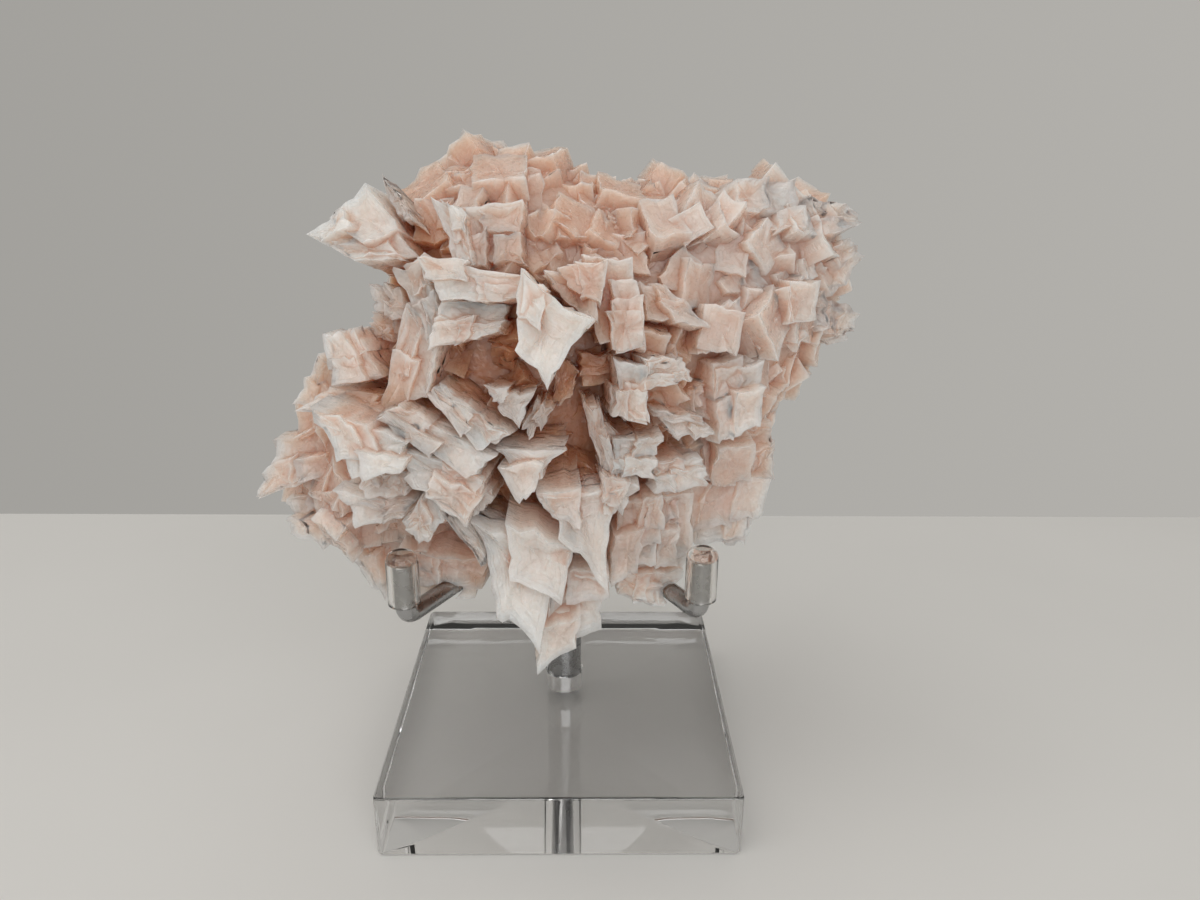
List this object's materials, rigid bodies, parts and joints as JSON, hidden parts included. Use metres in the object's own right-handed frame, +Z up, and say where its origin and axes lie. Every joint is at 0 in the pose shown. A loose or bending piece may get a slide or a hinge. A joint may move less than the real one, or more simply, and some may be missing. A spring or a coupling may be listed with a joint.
{
  "type": "pink halite crystal cluster on display stand",
  "caption": "Cluster of pink hopper halite crystals, held by sleeved wire arms on a clear acrylic block: a mineral specimen for display.",
  "frame": {"origin": "middle of the acrylic block's underside, on the surface that it stands on", "axes": "+Z up along the post, +X to the viewer's right, +Y away from the viewer, so the crystals' show side faces -Y"},
  "size_m": [0.0979, 0.0723, 0.1193],
  "materials": {
    "halite": "milky pale pink crystal, white at the tips",
    "acrylic": "polished clear acrylic",
    "steel": "polished bright wire and rod",
    "vinyl": "soft clear tube"
  },
  "bodies": {
    "root": {"halite_cluster": "halite", "acrylic_base": "acrylic", "post": "steel", "arm_left": "steel", "arm_right": "steel", "arm_back": "steel", "sleeve_left": "vinyl", "sleeve_right": "vinyl", "sleeve_back": "vinyl"}
  },
  "joints": []
}
